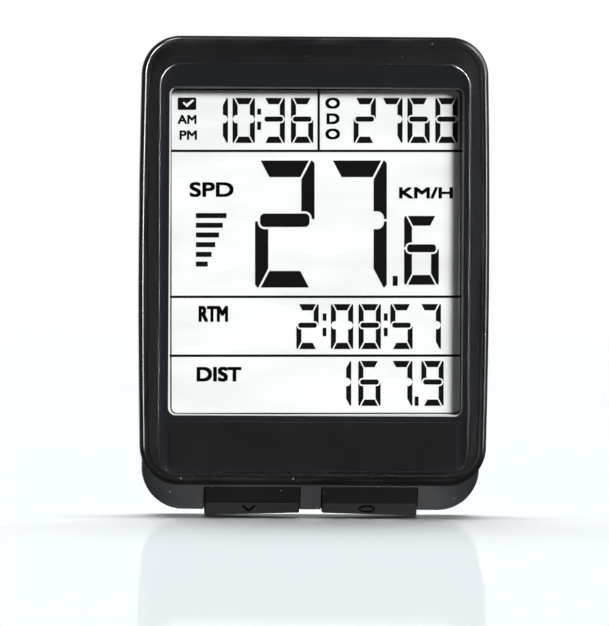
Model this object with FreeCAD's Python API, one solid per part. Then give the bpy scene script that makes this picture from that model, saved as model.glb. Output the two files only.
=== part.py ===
import FreeCAD, Part
import math
import os

# Handlebar cycling computer, modelled closed and switched on.
# Frame: X to the right when facing the screen, Y from the screen to the back, Z up along the case.
# The origin is the mouth of the locating bore in the rear mount boss. Everything is in millimetres.

V = FreeCAD.Vector

# ---- case outlines, seen from the front ----
HALF_WIDTH = 23.0  # front shell, at the middle of its bowed sides
SIDE_BOW = 0.4  # how much narrower each side is at its ends
TOP_Z = 18.45
FRONT_BOTTOM_Z = -40.45
CORNER_R = 5.1
REAR_HALF_WIDTH = 22.3
REAR_TOP_Z = 17.45
REAR_CORNER_R = 5.5
CHIN_START_Z = -40.4  # where the rear shell leaves the front shell
CHIN_BOTTOM_Z = -43.98
WALL = 1.4

# ---- planes along the depth, front to back ----
RIM_Y = -17.0
LENS_Y = -16.95
LAND_Y = -16.85
LENS_THICKNESS = 1.5
MASK_THICKNESS = 0.05
TAPE_THICKNESS = 0.15
LENS_BACK_Y = LENS_Y + LENS_THICKNESS
MASK_BACK_Y = LENS_BACK_Y + MASK_THICKNESS
LEDGE_Y = MASK_BACK_Y + TAPE_THICKNESS
BEZEL_SEAT_Y = -15.0
BEZEL_BACK_Y = -14.3
LCD_Y = -14.2
SEAL_FRONT_Y = -12.4
SPIGOT_FRONT_Y = -11.8
PARTING_Y = -10.6
BOARD_FRONT_Y = -10.5
BOARD_BACK_Y = -9.5
CHIN_BACK_Y = -7.3
REAR_INNER_Y = -4.5
REAR_Y = -3.0
BOSS_END_Y = 0.0

# ---- front shell and the panel set in it ----
RIM_ROUND = 0.68
PANEL_RECESS_INSET = 0.77
BEZEL_INSET = 1.02
LAND_FALL = 0.15  # the land slopes back by this much towards its outer edge
LAND_INNER_INSET = 2.45
LAND_ROUND = 0.15
PARTING_CHAMFER = 0.2
CAVITY_INSET = 2.15
BEZEL_BODY_INSET = 2.25
SPIGOT_CAVITY_INSET = 1.7
SPIGOT_GAP = 0.08
SPIGOT_WALL = 1.2

# ---- lens, window and name strip ----
LENS_HALF_WIDTH = 20.45
LENS_TOP_Z = 14.85
LENS_BOTTOM_Z = -38.85
LENS_CORNER_R = 2.9
LENS_GAP = 0.07
WINDOW_LEFT = -19.05
WINDOW_RIGHT = 19.65
WINDOW_TOP_Z = 11.8
WINDOW_BOTTOM_Z = -31.35
WINDOW_R = 1.05
LIP_SHOW = 0.16  # how far the bezel's lip shows inside the printed window
LIP_CHAMFER = 0.25
PLATE_LEFT = -19.0
PLATE_RIGHT = 18.95
PLATE_TOP_Z = -32.1
PLATE_BOTTOM_Z = -38.35
PLATE_R = 0.6
PLATE_THICKNESS = 0.25
PLATE_SINK = 0.1
PLATE_GAP = 0.1

# ---- liquid crystal stack ----
LCD_LEFT = -19.3
LCD_RIGHT = 19.9
LCD_TOP_Z = 12.3
LCD_REAR_BOTTOM_Z = -32.1
LCD_FRONT_BOTTOM_Z = -34.2
POLARISER_THICKNESS = 0.2
GLASS_THICKNESS = 0.55
CELL_GAP = 0.05
ZEBRA_BOTTOM_Z = -33.9
ZEBRA_TOP_Z = -32.7
ZEBRA_LEFT = -17.5
ZEBRA_RIGHT = 18.1
ZEBRA_SLOT_GAP = 0.15

# ---- board ----
BOARD_HALF_WIDTH = 19.3
BOARD_CORNER_R = 1.4
BOARD_TOP_Z = 12.2
BOARD_BOTTOM_Z = -37.2
BOARD_SCREWS = [(-14.5, 9.5), (14.5, 9.5), (-17.0, -28.0), (17.0, -28.0)]
BOARD_SCREW_R = 0.6

# ---- case screws ----
CASE_SCREWS = [(-16.5, 14.2), (16.5, 14.2), (-16.8, -36.1), (16.8, -36.1)]
POST_R = 1.6
POST_GAP = 0.15
POST_END_Y = -9.7
PILOT_R = 0.82
SCREW_R = 0.8
SCREW_HEAD_R = 1.6
SCREW_HEAD_HEIGHT = 0.9
SCREW_SEAT_Y = -5.8
SCREW_TIP_Y = -13.0
TUBE_R = 1.9
TUBE_END_Y = -9.65
HEAD_HOLE_R = 1.75
SHANK_HOLE_R = 0.95

# ---- battery and its cover ----
BATTERY_Z = -25.5
BATTERY_R = 10.0
BATTERY_FRONT_Y = -7.9
BATTERY_BACK_Y = -4.7
WELL_R = 10.3
WELL_OUTER_R = 13.6
WELL_END_Y = -8.1
COVER_R = 12.3
COVER_SEAT_R = 12.45
COVER_FLANGE_Y = -3.9
COVER_SEAT_Y = -4.6
COVER_PLATE_Y = -4.6
PLUG_R = 10.9
PLUG_HOLE_R = 11.0
PLUG_INNER_R = 10.2
PLUG_END_Y = -6.4
TAB_R = 11.7
TAB_SPACE_R = 11.85
TAB_FRONT_Y = -6.4
TAB_BACK_Y = -5.65
LAND_FRONT_Y = -5.5
GROOVE_FRONT_Y = -6.7
TAB_SWEEP = 30.0
TAB_GAP_DEG = 1.0
COVER_TURN = 40.0
TAB_ANGLES = (90.0, 210.0, 330.0)
COIN_SLOT_LENGTH = 15.0
COIN_SLOT_WIDTH = 1.9
COIN_SLOT_DEPTH = 0.9
O_RING_R = 11.6
O_RING_WIRE_R = 0.32

# ---- buttons and switches ----
BUTTON_INNER_X = 1.5
BUTTON_OUTER_X = 14.0
BUTTON_GAP = 0.15
BUTTON_FRONT_Y = -10.0
BUTTON_REAR_Y = -5.2
BUTTON_TOP_Z = -40.4
BUTTON_BEVEL_Z = -43.1
BUTTON_BOTTOM_Z = -44.7
BUTTON_END_RISE = 0.38  # the bottoms rise towards the middle of the case
BUTTON_BEVEL = 1.45
BUTTON_SHELF_Z = -41.4
BUTTON_TRAVEL = 0.5
SWITCH_Y = -8.85
SWITCH_WIDTH = 4.5
SWITCH_THICKNESS = 1.3
SWITCH_BOTTOM_Z = -37.4
SWITCH_TOP_Z = -35.2
PLUNGER_WIDTH = 1.7
PLUNGER_THICKNESS = 0.8
PLUNGER_TIP_Z = -38.3
BOOT_GAP = 0.03
BOOT_HEIGHT = 0.6

# ---- rear mount boss ----
BOSS_R = 10.0
LUG_R = 12.0
LUG_THICKNESS = 1.4
LUG_SWEEP = 60.0
BORE_R = 3.0
BORE_DEPTH = 2.4
HUB_R = 4.6
BOSS_POCKET_R = 8.6
RIB_THICKNESS = 1.0

# The wireless receiver, an axis along X.
RECEIVER_Y = -7.25
RECEIVER_Z = 0.5

EXTRA = 1.0  # how far a cutter runs past the face that it cuts

os.makedirs("parts", exist_ok=True)


# ---- helpers ----
def at_angle(cx, cz, radius, degrees, y):
    """Point on a circle about (cx, cz) in the plane Y = y, turning from +X towards +Z."""
    turn = math.radians(degrees)
    return V(cx + radius * math.cos(turn), y, cz + radius * math.sin(turn))


def rounded_wire(x0, x1, z0, z1, radius, y):
    """Rounded rectangle in the plane Y = y: four quarter arcs joined by four lines."""
    centres = [
        (x1 - radius, z0 + radius, -90.0),
        (x1 - radius, z1 - radius, 0.0),
        (x0 + radius, z1 - radius, 90.0),
        (x0 + radius, z0 + radius, 180.0),
    ]
    edges = []
    for index, (cx, cz, start) in enumerate(centres):
        first = at_angle(cx, cz, radius, start, y)
        middle = at_angle(cx, cz, radius, start + 45.0, y)
        last = at_angle(cx, cz, radius, start + 90.0, y)
        edges.append(Part.Arc(first, middle, last).toShape())
        next_x, next_z, next_start = centres[(index + 1) % 4]
        edges.append(Part.makeLine(last, at_angle(next_x, next_z, radius, next_start, y)))
    return Part.Wire(edges)


def prism(wire, depth):
    return Part.Face(wire).extrude(V(0, depth, 0))


def slab(x0, x1, z0, z1, radius, y0, y1):
    """Plate with rounded corners, between the planes Y = y0 and Y = y1."""
    return prism(rounded_wire(x0, x1, z0, z1, radius, y0), y1 - y0)


def box(x0, x1, y0, y1, z0, z1):
    return Part.makeBox(x1 - x0, y1 - y0, z1 - z0, V(x0, y0, z0))


def disc(cx, cz, radius, y0, y1):
    """Cylinder along Y."""
    return Part.makeCylinder(radius, y1 - y0, V(cx, y0, cz), V(0, 1, 0))


def ring(cx, cz, inner, outer, y0, y1):
    hole = disc(cx, cz, inner, y0 - EXTRA, y1 + EXTRA)
    return disc(cx, cz, outer, y0, y1).cut(hole)


def sector(cx, cz, inner, outer, start, sweep, y0, y1):
    """Part of a ring along Y, from the angle start and through sweep degrees."""
    middle = start + sweep / 2.0
    end = start + sweep
    outside = Part.Arc(
        at_angle(cx, cz, outer, start, y0),
        at_angle(cx, cz, outer, middle, y0),
        at_angle(cx, cz, outer, end, y0),
    ).toShape()
    inside = Part.Arc(
        at_angle(cx, cz, inner, end, y0),
        at_angle(cx, cz, inner, middle, y0),
        at_angle(cx, cz, inner, start, y0),
    ).toShape()
    out_to_in = Part.makeLine(at_angle(cx, cz, outer, end, y0), at_angle(cx, cz, inner, end, y0))
    in_to_out = Part.makeLine(
        at_angle(cx, cz, inner, start, y0), at_angle(cx, cz, outer, start, y0)
    )
    return prism(Part.Wire([outside, out_to_in, inside, in_to_out]), y1 - y0)


def fuse_all(shapes):
    return shapes[0].multiFuse(shapes[1:]).removeSplitter()


def edges_in_plane(shape, y):
    """The edges that lie in the plane Y = y."""
    found = []
    for edge in shape.Edges:
        bounds = edge.BoundBox
        if abs(bounds.YMin - y) < 1e-4 and abs(bounds.YMax - y) < 1e-4:
            found.append(edge)
    return found


def edges_along_y(shape):
    found = []
    for edge in shape.Edges:
        bounds = edge.BoundBox
        if bounds.XLength < 1e-4 and bounds.ZLength < 1e-4:
            found.append(edge)
    return found


def front_block(inset, y0, y1):
    """The front shell's outline with its bowed sides, moved inwards by inset."""
    z0 = FRONT_BOTTOM_Z + inset
    z1 = TOP_Z - inset
    middle_z = (z0 + z1) / 2.0
    end_x = HALF_WIDTH - SIDE_BOW - inset
    middle_x = HALF_WIDTH - inset
    right = Part.Arc(V(end_x, y0, z0), V(middle_x, y0, middle_z), V(end_x, y0, z1)).toShape()
    top = Part.makeLine(V(end_x, y0, z1), V(-end_x, y0, z1))
    left = Part.Arc(V(-end_x, y0, z1), V(-middle_x, y0, middle_z), V(-end_x, y0, z0)).toShape()
    bottom = Part.makeLine(V(-end_x, y0, z0), V(end_x, y0, z0))
    block = prism(Part.Wire([right, top, left, bottom]), y1 - y0)
    return block.makeFillet(CORNER_R - inset, edges_along_y(block))


def front_outline(inset, y):
    block = front_block(inset, y, y + EXTRA)
    return Part.Wire(Part.sortEdges(edges_in_plane(block, y))[0])


def save(name, shape):
    shape.exportStep(f"parts/{name}.step")
    solids = len(shape.Solids)
    print(f"{name}: {solids} solid(s), valid {shape.isValid()}, {shape.Volume:.1f} mm3")


# ---- front of the case ----
def make_front_shell():
    """Open frame with a rounded rim. The panel sits in its front recess."""
    shell = front_block(0.0, RIM_Y, PARTING_Y)
    shell = shell.makeFillet(RIM_ROUND, edges_in_plane(shell, RIM_Y))
    shell = shell.makeChamfer(PARTING_CHAMFER, edges_in_plane(shell, PARTING_Y))
    shell = shell.cut(front_block(PANEL_RECESS_INSET, RIM_Y - EXTRA, BEZEL_SEAT_Y))
    shell = shell.cut(front_block(CAVITY_INSET, BEZEL_SEAT_Y - EXTRA, PARTING_Y + EXTRA))
    return shell.cut(front_block(SPIGOT_CAVITY_INSET, SEAL_FRONT_Y, PARTING_Y + EXTRA))


def window_cutter(grow, y0, y1):
    return slab(
        WINDOW_LEFT - grow,
        WINDOW_RIGHT + grow,
        WINDOW_BOTTOM_Z - grow,
        WINDOW_TOP_Z + grow,
        WINDOW_R + grow,
        y0,
        y1,
    )


def make_front_bezel():
    """Panel round the lens, with the lens pocket, the window lip and four screw posts."""
    edge_y = LAND_Y + LAND_FALL
    flange = front_block(BEZEL_INSET, edge_y, BEZEL_SEAT_Y)
    slope = Part.makeLoft(
        [front_outline(BEZEL_INSET, edge_y), front_outline(LAND_INNER_INSET, LAND_Y)], True, True
    )
    flange = flange.fuse(slope)
    flange = flange.makeFillet(LAND_ROUND, edges_in_plane(flange, edge_y))
    body = front_block(BEZEL_BODY_INSET, BEZEL_SEAT_Y, BEZEL_BACK_Y)
    posts = [disc(x, z, POST_R, BEZEL_BACK_Y - 0.2, POST_END_Y) for x, z in CASE_SCREWS]
    bezel = fuse_all([flange, body] + posts)
    pocket = slab(
        -LENS_HALF_WIDTH - LENS_GAP,
        LENS_HALF_WIDTH + LENS_GAP,
        LENS_BOTTOM_Z - LENS_GAP,
        LENS_TOP_Z + LENS_GAP,
        LENS_CORNER_R + LENS_GAP,
        LAND_Y - EXTRA,
        LEDGE_Y,
    )
    bezel = bezel.cut(pocket)
    bezel = bezel.cut(window_cutter(-LIP_SHOW, LEDGE_Y - EXTRA, BEZEL_BACK_Y + EXTRA))
    lip_edges = [
        edge for edge in edges_in_plane(bezel, LEDGE_Y) if abs(edge.CenterOfMass.x) < WINDOW_RIGHT
        and WINDOW_BOTTOM_Z < edge.CenterOfMass.z < WINDOW_TOP_Z
    ]
    bezel = bezel.makeChamfer(LIP_CHAMFER, lip_edges)
    for x, z in CASE_SCREWS:
        bezel = bezel.cut(disc(x, z, PILOT_R, SCREW_TIP_Y - 0.3, POST_END_Y + EXTRA))
    return bezel


def make_display_lens():
    """Clear lens with a rounded front edge and a shallow seat for the name strip."""
    lens = slab(
        -LENS_HALF_WIDTH,
        LENS_HALF_WIDTH,
        LENS_BOTTOM_Z,
        LENS_TOP_Z,
        LENS_CORNER_R,
        LENS_Y,
        LENS_BACK_Y,
    )
    lens = lens.makeFillet(0.3, edges_in_plane(lens, LENS_Y))
    seat = slab(
        PLATE_LEFT - PLATE_GAP,
        PLATE_RIGHT + PLATE_GAP,
        PLATE_BOTTOM_Z - PLATE_GAP,
        PLATE_TOP_Z + PLATE_GAP,
        PLATE_R + PLATE_GAP,
        LENS_Y - EXTRA,
        LENS_Y + PLATE_SINK + PLATE_THICKNESS,
    )
    return lens.cut(seat)


def make_lens_mask():
    """Printed film on the back of the lens, open at the window."""
    film = slab(
        -LENS_HALF_WIDTH + 0.1,
        LENS_HALF_WIDTH - 0.1,
        LENS_BOTTOM_Z + 0.1,
        LENS_TOP_Z - 0.1,
        LENS_CORNER_R - 0.1,
        LENS_BACK_Y,
        MASK_BACK_Y,
    )
    return film.cut(window_cutter(0.0, LENS_BACK_Y - EXTRA, MASK_BACK_Y + EXTRA))


def make_lens_tape():
    """Adhesive ring between the lens and the bezel's ledge, which keeps water out."""
    tape = slab(
        -LENS_HALF_WIDTH + 0.2,
        LENS_HALF_WIDTH - 0.2,
        LENS_BOTTOM_Z + 0.2,
        LENS_TOP_Z - 0.2,
        LENS_CORNER_R - 0.2,
        MASK_BACK_Y,
        LEDGE_Y,
    )
    return tape.cut(window_cutter(0.15, MASK_BACK_Y - EXTRA, LEDGE_Y + EXTRA))


def make_name_plate():
    """Blank strip set in the lens below the window."""
    front = LENS_Y + PLATE_SINK
    back = front + PLATE_THICKNESS
    plate = slab(PLATE_LEFT, PLATE_RIGHT, PLATE_BOTTOM_Z, PLATE_TOP_Z, PLATE_R, front, back)
    return plate.makeFillet(0.06, edges_in_plane(plate, front))


# ---- liquid crystal stack ----
def lcd_plate(bottom_z, y0, thickness):
    return slab(LCD_LEFT, LCD_RIGHT, bottom_z, LCD_TOP_Z, 0.2, y0, y0 + thickness)


def make_lcd_parts():
    """Polariser, two glasses and the reflecting rear polariser, front to back."""
    front_glass_y = LCD_Y + POLARISER_THICKNESS
    rear_glass_y = front_glass_y + GLASS_THICKNESS + CELL_GAP
    rear_polariser_y = rear_glass_y + GLASS_THICKNESS
    gasket = lcd_plate(LCD_REAR_BOTTOM_Z, BEZEL_BACK_Y, LCD_Y - BEZEL_BACK_Y)
    gasket = gasket.cut(window_cutter(0.1, BEZEL_BACK_Y - EXTRA, LCD_Y + EXTRA))
    seal = lcd_plate(LCD_REAR_BOTTOM_Z, rear_glass_y - CELL_GAP, CELL_GAP)
    seal = seal.cut(window_cutter(0.05, BEZEL_BACK_Y, REAR_Y))
    return {
        "lcd_gasket": gasket,
        "lcd_polariser_front": lcd_plate(LCD_REAR_BOTTOM_Z, LCD_Y, POLARISER_THICKNESS),
        "lcd_glass_front": lcd_plate(LCD_FRONT_BOTTOM_Z, front_glass_y, GLASS_THICKNESS),
        "lcd_edge_seal": seal,
        "lcd_glass_rear": lcd_plate(LCD_REAR_BOTTOM_Z, rear_glass_y, GLASS_THICKNESS),
        "lcd_reflector": lcd_plate(LCD_REAR_BOTTOM_Z, rear_polariser_y, POLARISER_THICKNESS),
    }


def lcd_back_y():
    return LCD_Y + 2.0 * POLARISER_THICKNESS + 2.0 * GLASS_THICKNESS + CELL_GAP


def zebra_slot(y0, y1):
    return box(
        ZEBRA_LEFT - ZEBRA_SLOT_GAP,
        ZEBRA_RIGHT + ZEBRA_SLOT_GAP,
        y0,
        y1,
        ZEBRA_BOTTOM_Z - ZEBRA_SLOT_GAP,
        ZEBRA_TOP_Z + ZEBRA_SLOT_GAP,
    )


def make_lcd_holder():
    """Tray that locates the glass and stands off the board on ribs and screw bosses."""
    floor_front = lcd_back_y()
    floor_step = SEAL_FRONT_Y - 0.05
    floor_back = floor_front + 0.7
    tray = box(LCD_LEFT - 0.5, LCD_RIGHT + 0.5, -13.6, floor_step, LCD_FRONT_BOTTOM_Z - 0.5, LCD_TOP_Z + 0.5)
    tray = tray.makeFillet(0.6, edges_along_y(tray))
    nest = box(
        LCD_LEFT - 0.1,
        LCD_RIGHT + 0.1,
        -13.6 - EXTRA,
        floor_front,
        LCD_FRONT_BOTTOM_Z - 0.1,
        LCD_TOP_Z + 0.1,
    )
    tray = tray.cut(nest)
    floor = box(-19.2, 19.2, floor_step, floor_back, LCD_FRONT_BOTTOM_Z, LCD_TOP_Z - 0.3)
    outer = box(-19.2, 19.2, floor_back, BOARD_FRONT_Y, LCD_FRONT_BOTTOM_Z, BOARD_TOP_Z - 0.2)
    inner = box(-18.2, 18.2, floor_back - EXTRA, BOARD_FRONT_Y + EXTRA, -31.5, BOARD_TOP_Z - 1.2)
    pieces = [tray, floor, outer.cut(inner)]
    pieces.append(box(-18.4, 18.4, floor_back, BOARD_FRONT_Y, -20.6, -19.8))
    pieces.append(box(-18.4, 18.4, floor_back, BOARD_FRONT_Y, 3.8, 4.6))
    for x, z in BOARD_SCREWS:
        pieces.append(disc(x, z, 1.4, floor_back, BOARD_FRONT_Y))
    holder = fuse_all(pieces).cut(zebra_slot(-13.6, BOARD_FRONT_Y + EXTRA))
    for x, z in BOARD_SCREWS:
        holder = holder.cut(disc(x, z, BOARD_SCREW_R + 0.02, floor_front + 0.3, BOARD_FRONT_Y + EXTRA))
    for x, z in CASE_SCREWS:
        holder = holder.cut(disc(x, z, POST_R + POST_GAP, BEZEL_BACK_Y, BOARD_BACK_Y))
    return holder


def make_zebra_strip():
    """Layered rubber connector from the glass ledge to the board's pads."""
    front = LCD_Y + POLARISER_THICKNESS + GLASS_THICKNESS
    return box(ZEBRA_LEFT, ZEBRA_RIGHT, front, BOARD_FRONT_Y, ZEBRA_BOTTOM_Z, ZEBRA_TOP_Z)


# ---- board and what is on it ----
def make_circuit_board():
    board = slab(
        -BOARD_HALF_WIDTH,
        BOARD_HALF_WIDTH,
        BOARD_BOTTOM_Z,
        BOARD_TOP_Z,
        BOARD_CORNER_R,
        BOARD_FRONT_Y,
        BOARD_BACK_Y,
    )
    for x, z in CASE_SCREWS:
        board = board.cut(disc(x, z, POST_R + 0.6, BOARD_FRONT_Y - EXTRA, BOARD_BACK_Y + EXTRA))
    for x, z in BOARD_SCREWS:
        board = board.cut(disc(x, z, 0.75, BOARD_FRONT_Y - EXTRA, BOARD_BACK_Y + EXTRA))
    return board


def make_controller_chip():
    """Resin dome over the bonded chip, on the board's front."""
    base = disc(0.0, -6.0, 4.0, BOARD_FRONT_Y - 0.3, BOARD_FRONT_Y)
    ball_r = 9.0
    dome = Part.makeSphere(ball_r, V(0.0, BOARD_FRONT_Y - 1.15 + ball_r, -6.0))
    dome = dome.common(disc(0.0, -6.0, 4.0, BOARD_FRONT_Y - 1.2, BOARD_FRONT_Y - 0.3))
    return fuse_all([dome, base])


def make_crystal():
    """Watch crystal in its can, lying on the board's back."""
    can = Part.makeCylinder(1.0, 6.0, V(-16.5, BOARD_BACK_Y + 1.05, 6.5), V(1, 0, 0))
    return can.makeFillet(0.25, [edge for edge in can.Edges if edge.BoundBox.XLength < 1e-4])


def make_board_parts():
    """Chip capacitors and resistors on the board's back, one row above the other."""
    chips = []
    for row in range(2):
        for column in range(5):
            x = 0.0 + 2.6 * column
            z = 7.2 + 2.2 * row
            chips.append(box(x, x + 1.6, BOARD_BACK_Y, BOARD_BACK_Y + 0.5, z, z + 0.8))
    chips.append(box(-8.0, -3.0, BOARD_BACK_Y, BOARD_BACK_Y + 1.2, 6.6, 10.6))
    return Part.makeCompound(chips)


def make_board_screws():
    screws = []
    for x, z in BOARD_SCREWS:
        shank = disc(x, z, BOARD_SCREW_R, -12.0, BOARD_BACK_Y)
        head = disc(x, z, 1.2, BOARD_BACK_Y, BOARD_BACK_Y + 0.6)
        head = head.makeFillet(0.2, edges_in_plane(head, BOARD_BACK_Y + 0.6))
        screw = fuse_all([shank, head])
        cross_y = BOARD_BACK_Y + 0.3
        screw = screw.cut(box(x - 0.8, x + 0.8, cross_y, cross_y + EXTRA, z - 0.15, z + 0.15))
        screw = screw.cut(box(x - 0.15, x + 0.15, cross_y, cross_y + EXTRA, z - 0.8, z + 0.8))
        screws.append(screw)
    return Part.makeCompound(screws)


def make_receiver_core():
    core = Part.makeCylinder(1.4, 16.0, V(-8.0, RECEIVER_Y, RECEIVER_Z), V(1, 0, 0))
    return core.makeFillet(0.2, [edge for edge in core.Edges if edge.BoundBox.XLength < 1e-4])


def make_receiver_coil():
    """Winding on the ferrite core, turn beside turn, drawn as a ribbed sleeve."""
    turns = 14
    pitch = 0.6
    start = -turns * pitch / 2.0
    outline = [V(start, 1.42, 0)]
    for turn in range(turns):
        x = start + turn * pitch
        outline.append(V(x, 2.0, 0))
        outline.append(V(x + pitch / 2.0, 2.15, 0))
    outline.append(V(-start, 2.0, 0))
    outline.append(V(-start, 1.42, 0))
    outline.append(outline[0])
    sleeve = Part.Face(Part.makePolygon(outline)).revolve(V(0, 0, 0), V(1, 0, 0), 360)
    sleeve.translate(V(0, RECEIVER_Y, RECEIVER_Z))
    return sleeve


def make_contact_negative():
    """Sprung tongue from the board to the cell's small face."""
    thickness = 0.2
    back = BOARD_BACK_Y
    tip = BATTERY_FRONT_Y - 0.18
    outline = [
        (back, -17.5),
        (back, -24.0),
        (tip - thickness, -30.0),
        (tip - thickness, -32.5),
        (tip, -32.5),
        (tip, -29.9),
        (back + thickness, -23.8),
        (back + thickness, -17.5),
    ]
    points = [V(-2.0, y, z) for y, z in outline]
    return Part.Face(Part.makePolygon(points + points[:1])).extrude(V(4.0, 0, 0))


def make_contact_positive():
    """Angle from the board to the cell's rim."""
    riser_x = BATTERY_R + 0.04
    z0 = BATTERY_Z - 2.0
    z1 = BATTERY_Z + 2.0
    foot = box(riser_x, riser_x + 3.4, BOARD_BACK_Y, BOARD_BACK_Y + 0.2, z0, z1)
    riser = box(riser_x, riser_x + 0.2, BOARD_BACK_Y, -6.95, z0, z1)
    return fuse_all([foot, riser])


def make_battery():
    """Coin cell of 20 mm by 3.2 mm, its small face towards the board."""
    can = disc(0.0, BATTERY_Z, BATTERY_R, BATTERY_FRONT_Y + 0.2, BATTERY_BACK_Y)
    can = can.makeFillet(0.35, edges_in_plane(can, BATTERY_BACK_Y))
    cap = disc(0.0, BATTERY_Z, 8.8, BATTERY_FRONT_Y, BATTERY_FRONT_Y + 0.25)
    return fuse_all([can, cap])


def button_centre(side):
    return side * (BUTTON_INNER_X + BUTTON_OUTER_X) / 2.0


def make_switch(side):
    """Side-push switch on the board's back, at its lower edge."""
    x = button_centre(side)
    body = box(
        x - SWITCH_WIDTH / 2.0,
        x + SWITCH_WIDTH / 2.0,
        BOARD_BACK_Y,
        BOARD_BACK_Y + SWITCH_THICKNESS,
        SWITCH_BOTTOM_Z,
        SWITCH_TOP_Z,
    )
    body = body.makeFillet(0.15, edges_along_y(body))
    return body.cut(plunger_block(x, PLUNGER_TIP_Z, SWITCH_BOTTOM_Z + 1.2, 0.05))


def plunger_block(x, z0, z1, grow):
    return box(
        x - PLUNGER_WIDTH / 2.0 - grow,
        x + PLUNGER_WIDTH / 2.0 + grow,
        SWITCH_Y - PLUNGER_THICKNESS / 2.0 - grow,
        SWITCH_Y + PLUNGER_THICKNESS / 2.0 + grow,
        z0,
        z1,
    )


def make_plunger(side):
    """Pin that the button pushes into the switch."""
    x = button_centre(side)
    plunger = plunger_block(x, PLUNGER_TIP_Z, SWITCH_BOTTOM_Z + 0.6, 0.0)
    tip = [edge for edge in plunger.Edges if edge.BoundBox.ZMax < PLUNGER_TIP_Z + 1e-4]
    return plunger.makeFillet(0.1, tip)


# ---- buttons ----
def make_button(side):
    """Wide key on the chin: a flat front, a bevel that faces down and forwards, a shelf that keeps
    it in the case, and a stem that reaches up to the switch."""
    length = BUTTON_OUTER_X - BUTTON_INNER_X
    profile = [
        (BUTTON_FRONT_Y, BUTTON_TOP_Z),
        (BUTTON_FRONT_Y, BUTTON_BEVEL_Z),
        (BUTTON_FRONT_Y + BUTTON_BEVEL, BUTTON_BOTTOM_Z),
        (BUTTON_REAR_Y - 0.8, BUTTON_BOTTOM_Z),
        (BUTTON_REAR_Y, BUTTON_BOTTOM_Z + 0.8),
        (BUTTON_REAR_Y, BUTTON_SHELF_Z),
        (-8.0, BUTTON_SHELF_Z),
        (-8.0, BUTTON_TOP_Z),
    ]
    points = [V(BUTTON_INNER_X, y, z) for y, z in profile]
    key = Part.Face(Part.makePolygon(points + points[:1])).extrude(V(length, 0, 0))
    slope = [
        V(BUTTON_INNER_X - EXTRA, BUTTON_FRONT_Y - EXTRA, BUTTON_BOTTOM_Z - EXTRA),
        V(BUTTON_OUTER_X, BUTTON_FRONT_Y - EXTRA, BUTTON_BOTTOM_Z - EXTRA),
        V(BUTTON_OUTER_X, BUTTON_FRONT_Y - EXTRA, BUTTON_BOTTOM_Z),
        V(BUTTON_INNER_X - EXTRA, BUTTON_FRONT_Y - EXTRA, BUTTON_BOTTOM_Z + BUTTON_END_RISE),
    ]
    wedge = Part.Face(Part.makePolygon(slope + slope[:1])).extrude(V(0, 8.0, 0))
    key = key.cut(wedge)
    rounded = []
    for edge in key.Edges:
        bounds = edge.BoundBox
        if bounds.ZMax < BUTTON_SHELF_Z - 0.1 and bounds.YMax < BUTTON_REAR_Y + 0.1:
            rounded.append(edge)
    key = key.makeFillet(0.22, rounded)
    shelf = box(
        BUTTON_INNER_X - 0.8,
        BUTTON_OUTER_X + 0.8,
        -6.9,
        -4.7,
        CHIN_BOTTOM_Z + WALL + 0.05,
        BUTTON_SHELF_Z,
    )
    centre = abs(button_centre(side))
    boot_z = PLUNGER_TIP_Z - BOOT_GAP - BOOT_HEIGHT
    bridge = box(centre - 1.6, centre + 1.6, SWITCH_Y - 0.7, -6.5, BUTTON_SHELF_Z - 0.6, BUTTON_SHELF_Z + 0.4)
    stem = box(centre - 1.2, centre + 1.2, SWITCH_Y - 0.6, SWITCH_Y + 0.6, BUTTON_TOP_Z - 0.6, boot_z)
    button = fuse_all([key, shelf, bridge, stem])
    if side < 0:
        button = button.mirror(V(0, 0, 0), V(1, 0, 0))
    return button


def make_button_boot(side):
    """Rubber pad on the button's stem."""
    x = button_centre(side)
    top = PLUNGER_TIP_Z - BOOT_GAP
    pad = box(x - 1.5, x + 1.5, SWITCH_Y - 0.8, SWITCH_Y + 0.8, top - BOOT_HEIGHT, top)
    vertical = [edge for edge in pad.Edges if edge.BoundBox.ZLength > BOOT_HEIGHT * 0.9]
    return pad.makeFillet(0.4, vertical)


# ---- back of the case ----
def rear_outline(y, inset, bottom_z):
    return rounded_wire(
        -REAR_HALF_WIDTH + inset,
        REAR_HALF_WIDTH - inset,
        bottom_z + inset,
        REAR_TOP_Z - inset,
        REAR_CORNER_R - inset,
        y,
    )


def make_rear_body():
    """Closed outside of the rear shell: a chin that slopes out, then straight walls."""
    chin = Part.makeLoft(
        [rear_outline(PARTING_Y, 0.0, CHIN_START_Z), rear_outline(CHIN_BACK_Y, 0.0, CHIN_BOTTOM_Z)],
        True,
        True,
    )
    back = prism(rear_outline(CHIN_BACK_Y, 0.0, CHIN_BOTTOM_Z), REAR_Y - CHIN_BACK_Y)
    back = back.makeFillet(2.4, edges_in_plane(back, REAR_Y))
    return chin.fuse(back)


def make_rear_cavity():
    """Space inside the rear shell, which opens into the spigot."""
    inset = SPIGOT_CAVITY_INSET + SPIGOT_GAP + SPIGOT_WALL
    mouth_x = HALF_WIDTH - SIDE_BOW - inset
    mouth = rounded_wire(
        -mouth_x,
        mouth_x,
        FRONT_BOTTOM_Z + inset,
        TOP_Z - inset,
        CORNER_R - inset,
        PARTING_Y,
    )
    deep = rear_outline(CHIN_BACK_Y + 0.3, WALL, CHIN_BOTTOM_Z)
    flare = Part.makeLoft([mouth, deep], True, True)
    return flare.fuse(prism(deep, REAR_INNER_Y - CHIN_BACK_Y - 0.3))


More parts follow.
